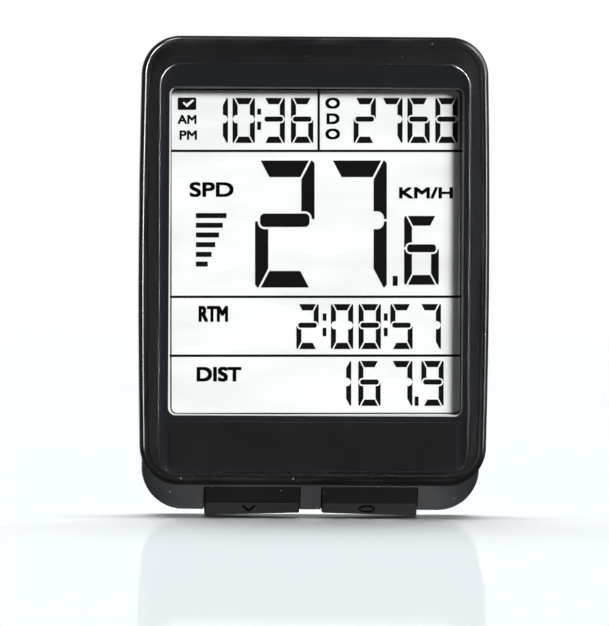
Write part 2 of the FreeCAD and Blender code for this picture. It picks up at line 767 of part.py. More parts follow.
def make_spigot():
    """Tongue that enters the front shell and presses the seal."""
    outer = front_block(SPIGOT_CAVITY_INSET + SPIGOT_GAP, SPIGOT_FRONT_Y, PARTING_Y)
    inset = SPIGOT_CAVITY_INSET + SPIGOT_GAP + SPIGOT_WALL
    mouth_x = HALF_WIDTH - SIDE_BOW - inset
    inner = slab(
        -mouth_x,
        mouth_x,
        FRONT_BOTTOM_Z + inset,
        TOP_Z - inset,
        CORNER_R - inset,
        SPIGOT_FRONT_Y - EXTRA,
        PARTING_Y + EXTRA,
    )
    return outer.cut(inner)


def make_mount_boss():
    """Twist-lock boss: a neck with two lugs, ribbed inside, round a central locating bore."""
    neck = disc(0.0, 0.0, BOSS_R, REAR_INNER_Y, BOSS_END_Y)
    pieces = [neck]
    for start in (-LUG_SWEEP / 2.0, 180.0 - LUG_SWEEP / 2.0):
        pieces.append(
            sector(0.0, 0.0, BOSS_R - 0.5, LUG_R, start, LUG_SWEEP, -LUG_THICKNESS, BOSS_END_Y)
        )
    boss = fuse_all(pieces)
    boss = boss.makeChamfer(0.25, edges_in_plane(boss, BOSS_END_Y))
    pocket = ring(0.0, 0.0, HUB_R, BOSS_POCKET_R, -BORE_DEPTH, BOSS_END_Y + EXTRA)
    for turn in (0.0, 90.0):
        rib = box(
            -BOSS_POCKET_R,
            BOSS_POCKET_R,
            -BORE_DEPTH - EXTRA,
            -0.4,
            -RIB_THICKNESS / 2.0,
            RIB_THICKNESS / 2.0,
        )
        rib.rotate(V(0, 0, 0), V(0, 1, 0), turn + 45.0)
        pocket = pocket.cut(rib)
    return boss.cut(pocket)


def cut_battery_opening(shell):
    """Seat, locking grooves and entry notches for the battery cover, and the well for the cell."""
    shell = shell.cut(disc(0.0, BATTERY_Z, COVER_SEAT_R, COVER_SEAT_Y, REAR_Y + EXTRA))
    shell = shell.cut(disc(0.0, BATTERY_Z, PLUG_HOLE_R, LAND_FRONT_Y, REAR_Y))
    shell = shell.cut(disc(0.0, BATTERY_Z, PLUG_HOLE_R, GROOVE_FRONT_Y, LAND_FRONT_Y))
    shell = shell.cut(disc(0.0, BATTERY_Z, WELL_R, WELL_END_Y - EXTRA, GROOVE_FRONT_Y))
    for angle in TAB_ANGLES:
        low = angle - COVER_TURN - TAB_SWEEP / 2.0 - TAB_GAP_DEG
        groove_sweep = COVER_TURN + TAB_SWEEP + 2.0 * TAB_GAP_DEG
        notch_sweep = TAB_SWEEP + 2.0 * TAB_GAP_DEG
        inner = PLUG_HOLE_R - 0.5
        groove = sector(
            0.0, BATTERY_Z, inner, TAB_SPACE_R, low, groove_sweep, GROOVE_FRONT_Y, LAND_FRONT_Y
        )
        notch = sector(
            0.0, BATTERY_Z, inner, TAB_SPACE_R, low, notch_sweep, LAND_FRONT_Y - 0.2, COVER_SEAT_Y + 0.2
        )
        shell = shell.cut(groove).cut(notch)
    slot = box(
        BATTERY_R - 0.2,
        BATTERY_R + 0.6,
        WELL_END_Y - EXTRA,
        GROOVE_FRONT_Y,
        BATTERY_Z - 2.3,
        BATTERY_Z + 2.3,
    )
    return shell.cut(slot)


def cut_button_openings(shell):
    """A straight-sided opening for each key and a channel for its stem."""
    for side in (-1, 1):
        low = min(side * BUTTON_INNER_X, side * BUTTON_OUTER_X) - BUTTON_GAP
        high = max(side * BUTTON_INNER_X, side * BUTTON_OUTER_X) + BUTTON_GAP
        front = BUTTON_FRONT_Y - BUTTON_GAP
        rear = BUTTON_REAR_Y + BUTTON_GAP
        ceiling = BUTTON_TOP_Z + BUTTON_TRAVEL + 0.4
        shell = shell.cut(box(low, high, front, rear, BUTTON_BOTTOM_Z - EXTRA, ceiling))
        x = button_centre(side)
        shell = shell.cut(box(x - 2.0, x + 2.0, SWITCH_Y - 1.05, -6.0, -42.0, -36.8))
    return shell


def make_rear_shell():
    """Back of the case, with the mount boss, the battery well and four screw tubes."""
    shell = make_rear_body().cut(make_rear_cavity())
    well = disc(0.0, BATTERY_Z, WELL_OUTER_R, WELL_END_Y, REAR_INNER_Y + 0.1)
    tubes = [disc(x, z, TUBE_R, TUBE_END_Y, REAR_INNER_Y + 0.1) for x, z in CASE_SCREWS]
    shell = fuse_all([shell, make_spigot(), make_mount_boss(), well] + tubes)
    shell = cut_battery_opening(shell)
    shell = cut_button_openings(shell)
    for x, z in CASE_SCREWS:
        shell = shell.cut(disc(x, z, POST_R + POST_GAP, SPIGOT_FRONT_Y - EXTRA, POST_END_Y + 0.02))
        shell = shell.cut(disc(x, z, HEAD_HOLE_R, SCREW_SEAT_Y, REAR_Y + EXTRA))
        shell = shell.cut(disc(x, z, SHANK_HOLE_R, TUBE_END_Y - EXTRA, SCREW_SEAT_Y + 0.1))
    shell = shell.cut(disc(0.0, 0.0, BORE_R, -BORE_DEPTH, BOSS_END_Y + EXTRA))
    marks = [(TAB_ANGLES[0], 13.6), (TAB_ANGLES[0] - COVER_TURN, 13.6)]
    for degrees, radius in marks:
        spot = at_angle(0.0, BATTERY_Z, radius, degrees - 60.0, 0.0)
        shell = shell.cut(disc(spot.x, spot.z, 0.4, REAR_Y - 0.25, REAR_Y + EXTRA))
    return shell


def make_case_seal():
    """Rubber ring that the spigot presses against the front shell."""
    outer = front_block(SPIGOT_CAVITY_INSET + 0.05, SEAL_FRONT_Y, SPIGOT_FRONT_Y)
    return outer.cut(front_block(2.35, SEAL_FRONT_Y - EXTRA, SPIGOT_FRONT_Y + EXTRA))


def make_battery_cover():
    """Round cover with a coin slot, and three tabs that turn under the case wall."""
    flange = disc(0.0, BATTERY_Z, COVER_R, COVER_FLANGE_Y, REAR_Y)
    flange = flange.makeFillet(0.3, edges_in_plane(flange, REAR_Y))
    plate = disc(0.0, BATTERY_Z, PLUG_R, COVER_PLATE_Y, COVER_FLANGE_Y)
    skirt = ring(0.0, BATTERY_Z, PLUG_INNER_R, PLUG_R, PLUG_END_Y, COVER_PLATE_Y)
    pieces = [flange, plate, skirt]
    for angle in TAB_ANGLES:
        start = angle - TAB_SWEEP / 2.0
        pieces.append(
            sector(0.0, BATTERY_Z, PLUG_R - 0.3, TAB_R, start, TAB_SWEEP, TAB_FRONT_Y, TAB_BACK_Y)
        )
    cover = fuse_all(pieces)
    half = COIN_SLOT_LENGTH / 2.0
    slot = slab(
        -half,
        half,
        BATTERY_Z - COIN_SLOT_WIDTH / 2.0,
        BATTERY_Z + COIN_SLOT_WIDTH / 2.0,
        COIN_SLOT_WIDTH / 2.0 - 0.01,
        REAR_Y - COIN_SLOT_DEPTH,
        REAR_Y + EXTRA,
    )
    cover = cover.cut(slot)
    spot = at_angle(0.0, BATTERY_Z, COVER_R - 1.3, TAB_ANGLES[0] - 60.0, 0.0)
    return cover.cut(disc(spot.x, spot.z, 0.4, REAR_Y - 0.25, REAR_Y + EXTRA))


def make_cover_o_ring():
    """Seal under the cover's flange."""
    centre_y = COVER_FLANGE_Y - O_RING_WIRE_R
    return Part.makeTorus(O_RING_R, O_RING_WIRE_R, V(0.0, centre_y, BATTERY_Z), V(0, 1, 0))


def make_case_screws():
    """Four self-tapping screws, from the back of the case into the bezel's posts."""
    screws = []
    for x, z in CASE_SCREWS:
        shank = disc(x, z, SCREW_R, SCREW_TIP_Y, SCREW_SEAT_Y)
        head_top = SCREW_SEAT_Y + SCREW_HEAD_HEIGHT
        head = disc(x, z, SCREW_HEAD_R, SCREW_SEAT_Y, head_top)
        head = head.makeFillet(0.35, edges_in_plane(head, head_top))
        screw = fuse_all([shank, head])
        cross_y = head_top - 0.5
        screw = screw.cut(box(x - 1.0, x + 1.0, cross_y, head_top + EXTRA, z - 0.2, z + 0.2))
        screw = screw.cut(box(x - 0.2, x + 0.2, cross_y, head_top + EXTRA, z - 1.0, z + 1.0))
        screws.append(screw)
    return Part.makeCompound(screws)


def main():
    parts = {
        "front_shell": make_front_shell(),
        "front_bezel": make_front_bezel(),
        "display_lens": make_display_lens(),
        "lens_mask": make_lens_mask(),
        "lens_tape": make_lens_tape(),
        "name_plate": make_name_plate(),
        "lcd_holder": make_lcd_holder(),
        "zebra_strip": make_zebra_strip(),
        "circuit_board": make_circuit_board(),
        "controller_chip": make_controller_chip(),
        "crystal": make_crystal(),
        "board_parts": make_board_parts(),
        "board_screws": make_board_screws(),
        "receiver_core": make_receiver_core(),
        "receiver_coil": make_receiver_coil(),
        "contact_negative": make_contact_negative(),
        "contact_positive": make_contact_positive(),
        "battery": make_battery(),
        "rear_shell": make_rear_shell(),
        "case_seal": make_case_seal(),
        "battery_cover": make_battery_cover(),
        "cover_o_ring": make_cover_o_ring(),
        "case_screws": make_case_screws(),
    }
    parts.update(make_lcd_parts())
    for name, side in (("left", -1), ("right", 1)):
        parts[f"button_{name}"] = make_button(side)
        parts[f"button_boot_{name}"] = make_button_boot(side)
        parts[f"switch_{name}"] = make_switch(side)
        parts[f"plunger_{name}"] = make_plunger(side)
    for name, shape in parts.items():
        save(name, shape)


main()
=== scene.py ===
import math

import bmesh
import bpy
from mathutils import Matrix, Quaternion, Vector


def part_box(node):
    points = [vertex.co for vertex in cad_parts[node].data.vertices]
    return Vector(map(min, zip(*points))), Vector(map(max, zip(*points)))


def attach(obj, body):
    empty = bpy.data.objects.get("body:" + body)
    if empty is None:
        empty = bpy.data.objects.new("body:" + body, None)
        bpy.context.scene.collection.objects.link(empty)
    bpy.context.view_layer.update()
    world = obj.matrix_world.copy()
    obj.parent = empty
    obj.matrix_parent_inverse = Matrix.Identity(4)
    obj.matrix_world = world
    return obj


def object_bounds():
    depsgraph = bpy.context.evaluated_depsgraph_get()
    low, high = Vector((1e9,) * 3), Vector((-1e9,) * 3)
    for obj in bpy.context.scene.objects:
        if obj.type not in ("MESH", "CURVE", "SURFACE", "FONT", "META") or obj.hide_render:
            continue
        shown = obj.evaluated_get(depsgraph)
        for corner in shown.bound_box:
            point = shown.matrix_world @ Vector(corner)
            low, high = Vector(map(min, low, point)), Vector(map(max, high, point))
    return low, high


# Looks of a handlebar cycling computer round its CAD frame. Lengths below are in millimetres unless
# a name says otherwise, and MM turns them into Blender's metres. X runs to the right when facing the
# screen, Y from the screen to the back, and Z up the case.

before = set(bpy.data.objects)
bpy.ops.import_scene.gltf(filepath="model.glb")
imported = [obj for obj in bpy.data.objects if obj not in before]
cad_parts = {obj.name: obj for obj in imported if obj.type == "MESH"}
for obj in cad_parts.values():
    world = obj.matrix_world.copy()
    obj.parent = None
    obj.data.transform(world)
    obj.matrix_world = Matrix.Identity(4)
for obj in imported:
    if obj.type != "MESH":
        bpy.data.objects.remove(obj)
cad_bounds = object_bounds()

MM = 0.001
UP = Vector((0.0, 0.0, 1.0))

# ---- camera and studio ----
CAMERA_DISTANCE = 1300.0
CAMERA_AZIMUTH_DEG = -2.0
CAMERA_ELEVATION_DEG = 1.3
CAMERA_ROLL_DEG = 0.35
SENSOR_WIDTH = 36.0
VIEW_WIDTH = 79.84  # what the picture's width spans at the front of the case
AIM_X = -1.25
AIM_Z = -17.8
KEY_DIRECTION = Vector((1.38, -1.0, 0.93))  # from the object to the light
KEY_ANGLE_DEG = 17.0
KEY_STRENGTH = 6.5
FLOOR_LIGHT_DIRECTION = Vector((0.0, 0.6, 1.0))
FLOOR_LIGHT_ANGLE_DEG = 56.0
FLOOR_LIGHT_STRENGTH = 4.15
FLOOR_RADIUS = 1500.0
FLOOR_GAP = 0.02

# ---- the display, seen through the window ----
WINDOW_LEFT = -19.05
WINDOW_TOP = 11.8
WINDOW_WIDTH = 38.7
WINDOW_HEIGHT = 43.15
WINDOW_R = 1.05
TRIM_WIDTH = 0.2  # pale edge that shows round the display, inside the printed window
TRIM_DEPTH = 0.25
# Painted shade: a dark ink ring just inside the pale seal stands in for the shaded gap between the seal and the
# display.
GAP_SHADE_INSET = 0.22
GAP_SHADE_WIDTH = 0.17
DISPLAY_TURN_DEG = 0.33  # the display sits a hair out of square with the case
INK_THICKNESS = 0.012
INK_GAP = 0.004
MARK_THICKNESS = 0.02
LINE_THICKNESS = 0.32
ROW_LINES = (8.36, 27.52, 35.26)  # depths of the lines between rows, below the window's top
SMALL_DIGIT = (2.93, 5.92, 0.66)  # width, height, stroke
SPEED_DIGIT = (7.81, 16.69, 1.73)
TENTHS_DIGIT = (4.56, 9.05, 1.02)
SEGMENTS = {
    "0": "abcdef",
    "1": "bc",
    "2": "abged",
    "3": "abgcd",
    "5": "afgcd",
    "6": "afgedc",
    "7": "abc",
    "8": "abcdefg",
    "9": "abfgcd",
}


# ---- node materials ----
class Shade:
    """One material: a Principled shader, with short calls that add nodes to it."""

    def __init__(self, name, roughness=0.5, metallic=0.0, specular=0.5):
        self.material = bpy.data.materials.new(name)
        self.material.use_nodes = True
        self.nodes = self.material.node_tree.nodes
        self.links = self.material.node_tree.links
        self.shader = self.nodes["Principled BSDF"]
        self.shader.inputs["Roughness"].default_value = roughness
        self.shader.inputs["Metallic"].default_value = metallic
        self.shader.inputs["Specular IOR Level"].default_value = specular
        self.place = self.nodes.new("ShaderNodeTexCoord").outputs["Object"]

    def noise(self, size, detail=3.0, stretch=(1.0, 1.0, 1.0)):
        """Noise whose features are about size millimetres across."""
        mapping = self.nodes.new("ShaderNodeMapping")
        mapping.inputs["Scale"].default_value = stretch
        self.links.new(self.place, mapping.inputs["Vector"])
        texture = self.nodes.new("ShaderNodeTexNoise")
        texture.inputs["Scale"].default_value = 1.0 / (size * MM)
        texture.inputs["Detail"].default_value = detail
        self.links.new(mapping.outputs["Vector"], texture.inputs["Vector"])
        return texture.outputs["Fac"]

    def cells(self, size):
        """Distance from the middle of the nearest of many scattered cells, in cell widths."""
        texture = self.nodes.new("ShaderNodeTexVoronoi")
        texture.inputs["Scale"].default_value = 1.0 / (size * MM)
        self.links.new(self.place, texture.inputs["Vector"])
        return texture

    def stripes(self, pitch, axis):
        """A wave across one axis, of the given pitch in millimetres."""
        texture = self.nodes.new("ShaderNodeTexWave")
        texture.wave_type = "BANDS"
        texture.bands_direction = axis
        texture.inputs["Scale"].default_value = math.pi / (10.0 * pitch * MM)
        texture.inputs["Distortion"].default_value = 0.0
        self.links.new(self.place, texture.inputs["Vector"])
        return texture.outputs["Fac"]

    def spread(self, value, low, high, from_low=0.3, from_high=0.7):
        """The value moved from its own range to the range low..high."""
        node = self.nodes.new("ShaderNodeMapRange")
        node.inputs["From Min"].default_value = from_low
        node.inputs["From Max"].default_value = from_high
        node.inputs["To Min"].default_value = low
        node.inputs["To Max"].default_value = high
        self.links.new(value, node.inputs["Value"])
        return node.outputs["Result"]

    def blend(self, factor, first, second):
        """A colour between two others; each is a colour or the output of a node."""
        node = self.nodes.new("ShaderNodeMix")
        node.data_type = "RGBA"
        self.links.new(factor, node.inputs["Factor"])
        for socket, colour in (("A", first), ("B", second)):
            target = [s for s in node.inputs if s.name == socket and s.type == "RGBA"][0]
            if isinstance(colour, tuple):
                target.default_value = (*colour, 1.0)
            else:
                self.links.new(colour, target)
        return [s for s in node.outputs if s.type == "RGBA"][0]

    def colour(self, value):
        self.links.new(value, self.shader.inputs["Base Color"])

    def roughness(self, value):
        self.links.new(value, self.shader.inputs["Roughness"])

    def bump(self, heights):
        """Relief from (value, height in millimetres) pairs, laid one over the other."""
        normal = None
        for value, height in heights:
            node = self.nodes.new("ShaderNodeBump")
            node.inputs["Distance"].default_value = height * MM
            self.links.new(value, node.inputs["Height"])
            if normal is not None:
                self.links.new(normal, node.inputs["Normal"])
            normal = node.outputs["Normal"]
        self.links.new(normal, self.shader.inputs["Normal"])


def tinted(colour, factor):
    return tuple(channel * factor for channel in colour)


def moulded(name, colour, roughness, grain=0.22, relief=0.004, dust=0.0, specular=0.5):
    """Moulded plastic: fine spark-eroded grain, cloudy gloss, and a little settled dust."""
    shade = Shade(name, roughness, specular=specular)
    cloud = shade.noise(6.0)
    fine = shade.noise(grain, detail=2.0)
    body = shade.blend(shade.spread(cloud, 0.0, 1.0), tinted(colour, 0.82), tinted(colour, 1.2))
    if dust > 0.0:
        specks = shade.cells(1.7)
        near = shade.spread(specks.outputs["Distance"], dust, 0.0, 0.03, 0.06)
        body = shade.blend(near, body, (0.5, 0.5, 0.5))
    shade.colour(body)
    shade.roughness(shade.spread(cloud, roughness - 0.05, roughness + 0.06))
    shade.bump([(shade.noise(3.0), relief * 1.5), (fine, relief)])
    return shade.material


def film(name, colour, roughness, grain=0.5, relief=0.001, specular=0.5):
    """Printed or laminated film: an even coat with faint streaks."""
    shade = Shade(name, roughness, specular=specular)
    streak = shade.noise(4.0, stretch=(0.25, 1.0, 1.0))
    fine = shade.noise(grain)
    tone = shade.blend(shade.spread(streak, 0.0, 1.0), tinted(colour, 0.93), tinted(colour, 1.07))
    shade.colour(tone)
    shade.roughness(shade.spread(fine, roughness - 0.03, roughness + 0.03))
    shade.bump([(fine, relief)])
    return shade.material


def rubber(name, colour, relief=0.004):
    shade = Shade(name, 0.75, specular=0.3)
    fine = shade.noise(0.15)
    cloud = shade.noise(2.5)
    shade.colour(shade.blend(shade.spread(cloud, 0.0, 1.0), colour, tinted(colour, 1.5)))
    shade.roughness(shade.spread(fine, 0.66, 0.84))
    shade.bump([(fine, relief)])
    return shade.material


def foam(name, colour):
    shade = Shade(name, 0.9, specular=0.2)
    pores = shade.cells(0.18).outputs["Distance"]
    shade.colour(shade.blend(shade.spread(pores, 0.0, 1.0, 0.1, 0.6), tinted(colour, 0.4), colour))
    shade.roughness(shade.spread(pores, 0.95, 0.8, 0.1, 0.6))
    shade.bump([(pores, 0.02)])
    return shade.material


def metal(name, colour, roughness, brush=(1.0, 1.0, 1.0), relief=0.0008):
    """Plated metal with brushed streaks along the axis whose stretch is small."""
    shade = Shade(name, roughness, metallic=1.0)
    streak = shade.noise(0.12, detail=4.0, stretch=brush)
    cloud = shade.noise(3.0)
    shade.colour(shade.blend(shade.spread(cloud, 0.0, 1.0), tinted(colour, 0.85), colour))
    shade.roughness(shade.spread(streak, roughness - 0.08, roughness + 0.1))
    shade.bump([(streak, relief)])
    return shade.material


def clear_lens(name):
    """Polished clear moulding: light passes straight through, and the surface mirrors."""
    shade = Shade(name)
    shade.nodes.remove(shade.shader)
    through = shade.nodes.new("ShaderNodeBsdfTransparent")
    through.inputs["Color"].default_value = (0.985, 0.99, 0.99, 1.0)
    mirror = shade.nodes.new("ShaderNodeBsdfGlossy")
    mirror.inputs["Color"].default_value = (1.0, 1.0, 1.0, 1.0)
    facing = shade.nodes.new("ShaderNodeLayerWeight").outputs["Facing"]
    steep = shade.nodes.new("ShaderNodeMath")
    steep.operation = "POWER"
    steep.inputs[1].default_value = 5.0
    shade.links.new(facing, steep.inputs[0])
    edge = shade.spread(steep.outputs["Value"], 0.04, 1.0, 0.0, 1.0)
    smear = shade.spread(shade.noise(5.0), 0.03, 0.08)
    shade.links.new(smear, mirror.inputs["Roughness"])
    mix = shade.nodes.new("ShaderNodeMixShader")
    shade.links.new(edge, mix.inputs["Fac"])
    shade.links.new(through.outputs["BSDF"], mix.inputs[1])
    shade.links.new(mirror.outputs["BSDF"], mix.inputs[2])
    shade.links.new(mix.outputs["Shader"], shade.nodes["Material Output"].inputs["Surface"])
    return shade.material


def board(name):
    """Green solder mask over copper tracks that show as faint raised lines."""
    shade = Shade(name, 0.35)
    tracks = shade.stripes(1.1, "X")
    weave = shade.noise(0.4)
    track = shade.spread(tracks, 0.0, 1.0, 0.55, 0.62)
    shade.colour(shade.blend(track, (0.018, 0.11, 0.045), (0.03, 0.17, 0.07)))
    shade.roughness(shade.spread(weave, 0.3, 0.42))
    shade.bump([(weave, 0.004), (track, 0.02)])
    return shade.material


def layered_rubber(name):
    """Elastomer connector: dark conducting layers between pale insulating ones."""
    shade = Shade(name, 0.6)
    layers = shade.spread(shade.stripes(0.18, "X"), 0.0, 1.0, 0.45, 0.55)
    shade.colour(shade.blend(layers, (0.03, 0.03, 0.03), (0.55, 0.5, 0.47)))
    shade.roughness(shade.spread(layers, 0.5, 0.7, 0.0, 1.0))
    shade.bump([(layers, 0.003)])
    return shade.material


def chip_bodies(name):
    """Fired ceramic with a fine brown grain."""
    shade = Shade(name, 0.45)
    grain = shade.noise(0.2)
    shade.colour(shade.blend(shade.spread(grain, 0.0, 1.0), (0.3, 0.22, 0.15), (0.5, 0.42, 0.33)))
    shade.roughness(shade.spread(grain, 0.35, 0.55))
    shade.bump([(grain, 0.004)])
    return shade.material


def winding(name):
    shade = Shade(name, 0.3, metallic=1.0)
    wire = shade.stripes(0.15, "X")
    shade.colour(shade.blend(shade.spread(wire, 0.0, 1.0, 0.2, 0.8), (0.3, 0.11, 0.04), (0.78, 0.4, 0.2)))
    shade.roughness(shade.spread(wire, 0.45, 0.22, 0.2, 0.8))
    shade.bump([(wire, 0.02)])
    return shade.material


# ---- finishes of the CAD nodes ----
def finish_nodes():
    finishes = [
        (moulded("rim_plastic", (0.0032, 0.0035, 0.004), 0.19, relief=0.0015, dust=0.5), ["front_shell"]),
        (moulded("case_plastic", (0.0095, 0.0104, 0.0118), 0.42, relief=0.003, dust=0.5), ["rear_shell"]),
        (moulded("panel_plastic", (0.0055, 0.006, 0.0072), 0.34, grain=0.3, relief=0.0015, dust=0.5), ["front_bezel"]),
        (
            moulded("button_plastic", (0.0125, 0.012, 0.012), 0.5, grain=0.2, dust=0.4, specular=0.05),
            ["button_left", "button_right"],
        ),
        (moulded("cover_plastic", (0.016, 0.017, 0.019), 0.48, grain=0.3, relief=0.007), ["battery_cover"]),
        (clear_lens("lens_clear"), ["display_lens"]),
        (film("lens_print", (0.0105, 0.0117, 0.0158), 0.4, specular=0.25), ["lens_mask"]),
        (moulded("plate_matt", (0.0105, 0.0107, 0.0118), 0.6, grain=0.3, relief=0.002, specular=0.1), ["name_plate"]),
        (foam("tape_foam", (0.05, 0.05, 0.05)), ["lens_tape", "lcd_gasket"]),
        (film("display_white", (0.9, 0.915, 0.905), 0.6, specular=0.2), ["lcd_polariser_front"]),
        (film("glass_edge", (0.55, 0.66, 0.6), 0.15), ["lcd_glass_front", "lcd_glass_rear"]),
        (film("reflector_silver", (0.7, 0.7, 0.68), 0.35), ["lcd_reflector"]),
        (film("seal_epoxy", (0.45, 0.45, 0.4), 0.5), ["lcd_edge_seal"]),
        (moulded("holder_white", (0.62, 0.62, 0.6), 0.5), ["lcd_holder"]),
        (layered_rubber("zebra_rubber"), ["zebra_strip"]),
        (board("board_green"), ["circuit_board"]),
        (moulded("chip_resin", (0.015, 0.015, 0.015), 0.25), ["controller_chip"]),
        (chip_bodies("chip_ceramic"), ["board_parts"]),
        (metal("bright_steel", (0.62, 0.62, 0.6), 0.25, (1.0, 1.0, 0.1)), ["battery", "crystal", "contact_negative", "contact_positive"]),
        (metal("screw_steel", (0.32, 0.32, 0.33), 0.35), ["board_screws", "case_screws"]),
        (moulded("ferrite", (0.09, 0.09, 0.095), 0.6, relief=0.01), ["receiver_core"]),
        (winding("coil_copper"), ["receiver_coil"]),
        (moulded("switch_black", (0.05, 0.05, 0.05), 0.45), ["switch_left", "switch_right"]),
        (moulded("plunger_white", (0.75, 0.74, 0.7), 0.4), ["plunger_left", "plunger_right"]),
        (rubber("seal_rubber", (0.04, 0.04, 0.04)), ["case_seal", "cover_o_ring", "button_boot_left", "button_boot_right"]),
    ]
    for material, names in finishes:
        for name in names:
            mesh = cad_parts[name].data
            mesh.materials.clear()
            mesh.materials.append(material)


def part_faces(name, gap):
    """Draws a piece in by a hair, so that none of its faces shares a plane with a neighbour's."""
    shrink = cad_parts[name].modifiers.new("hair_gap", "DISPLACE")
    shrink.mid_level = 0.0
    shrink.strength = -gap * MM


# ---- flat ink shapes on the display ----
def window_point(u, v, y):
    """u runs right from the window's left edge, and v down from its top edge."""
    turn = math.radians(DISPLAY_TURN_DEG)
    across = u - WINDOW_WIDTH / 2.0
    up = WINDOW_HEIGHT / 2.0 - v
    x = WINDOW_LEFT + WINDOW_WIDTH / 2.0 + across * math.cos(turn) - up * math.sin(turn)
    z = WINDOW_TOP - WINDOW_HEIGHT / 2.0 + across * math.sin(turn) + up * math.cos(turn)
    return (x * MM, y * MM, z * MM)


def display_face(y):
    """Where (u, v) shapes land when they lie on the display at depth y."""
    return lambda u, v, level: window_point(u, v, y - INK_THICKNESS * level)


def key_face(key):
    """Where (x, z) shapes land when they are thrown from the front on to a key."""

    def place(x, z, level):
        spot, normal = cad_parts[key].ray_cast((x * MM, -0.05, z * MM), (0.0, 1.0, 0.0))[1:3]
        return spot + normal * (MARK_THICKNESS * level * MM)

    return place


class Ink:
    """A group of flat shapes, raised a hair from the face they lie on, that becomes one piece."""

    def __init__(self, name, place):
        self.name = name
        self.place = place  # turns (u, v, level) into a point, with level 1 at the front of the ink
        self.points = []
        self.faces = []

    def shape(self, outline):
        """Adds a slab with this outline of (u, v) points."""
        start = len(self.points)
        count = len(outline)
        for level in (1, 0):
            self.points.extend(self.place(u, v, level) for u, v in outline)
        front = [start + i for i in range(count)]
        back = [start + count + i for i in range(count)]
        self.faces.append(front[::-1])
        self.faces.append(back)
        for i in range(count):
            j = (i + 1) % count
            self.faces.append([front[i], front[j], back[j], back[i]])

    def bar(self, left, top, width, height):
        self.shape([(left, top), (left + width, top), (left + width, top + height), (left, top + height)])

    def piece(self, material, body="case", slot="print_black"):
        mesh = bpy.data.meshes.new(self.name)
        mesh.from_pydata(self.points, [], self.faces)
        mesh.materials.append(material)
        mesh.update()
        return place_piece(bpy.data.objects.new(self.name, mesh), body)


def place_piece(piece, body):
    bpy.context.scene.collection.objects.link(piece)
    tidy_normals(piece.data)
    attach(piece, body)
    return piece


def tidy_normals(mesh):
    work = bmesh.new()
    work.from_mesh(mesh)
    bmesh.ops.recalc_face_normals(work, faces=work.faces)
    work.to_mesh(mesh)
    work.free()


def arc(cx, cy, radius, start, end, steps=6):
    """Points round a circle, in degrees from the u axis towards v."""
    turns = [math.radians(start + (end - start) * i / steps) for i in range(steps + 1)]
    return [(cx + radius * math.cos(turn), cy + radius * math.sin(turn)) for turn in turns]


def rounded_bar(left, top, width, height, radius):
    right = left + width
    low = top + height
    return (
        arc(left + radius, top + radius, radius, 180, 270)
        + arc(right - radius, top + radius, radius, 270, 360)
        + arc(right - radius, low - radius, radius, 0, 90)
        + arc(left + radius, low - radius, radius, 90, 180)
    )


def segment_shapes(width, height, stroke):
    """The seven segments of a digit with its top left corner at (0, 0).
    The ends of the digit are mitred, and the uprights follow the waist bar's round ends."""
    lean = 0.52
    gap = 0.15 + 0.09 * stroke
    tip = 0.26 * stroke - 0.02
    cap = 1.26 * stroke
    waist = 0.47 * height
    bar_height = 1.02 * stroke
    bar_inset = 0.38 * stroke
    bar_radius = min(0.29 * stroke + 0.1, bar_height / 2.0)
    notch = gap * 0.95
    corner = tip + gap
    top = [
        (corner, 0.0),
        (width - corner, 0.0),
        (width - corner - lean * cap, cap),
        (corner + lean * cap, cap),
    ]
    reach = bar_radius + notch
    notch_x = bar_inset - notch + reach
    notch_y = waist - bar_height / 2.0 - notch + reach
    upper = [(tip, 0.0), (0.72 * tip, 0.0), (0.0, 0.9 * tip), (0.0, waist - gap / 2.0)]
    upper.append((bar_inset - notch, waist - gap / 2.0))
    upper.extend(arc(notch_x, notch_y, reach, 180, 270))
    upper.append((stroke, waist - bar_height / 2.0 - notch))
    upper.append((stroke, (stroke - tip) / lean))
    lower_height = height - waist
    low_y = lower_height - bar_height / 2.0 - notch + reach
    lower = [(tip, 0.0), (0.72 * tip, 0.0), (0.0, 0.9 * tip), (0.0, lower_height - gap / 2.0)]
    lower.append((bar_inset - notch, lower_height - gap / 2.0))
    lower.extend(arc(notch_x, low_y, reach, 180, 270))
    lower.append((stroke, lower_height - bar_height / 2.0 - notch))
    lower.append((stroke, (stroke - tip) / lean))
    middle = rounded_bar(bar_inset, waist - bar_height / 2.0, width - 2.0 * bar_inset, bar_height, bar_radius)
    return {
        "a": top,
        "b": [(width - x, y) for x, y in upper],
        "c": [(width - x, height - y) for x, y in lower],
        "d": [(x, height - y) for x, y in top],
        "e": [(x, height - y) for x, y in lower],
        "f": upper,
        "g": middle,
    }


def digits(name, text, lefts, top, size, ink, y):
    """Lit segments of a row of digits, and nothing where a segment is off."""
    group = Ink(name, display_face(y))
    shapes = segment_shapes(*size)
    for digit, left in zip(text, lefts):
        for segment in SEGMENTS[digit]:
            group.shape([(left + u, top + v) for u, v in shapes[segment]])
    return group.piece(ink)


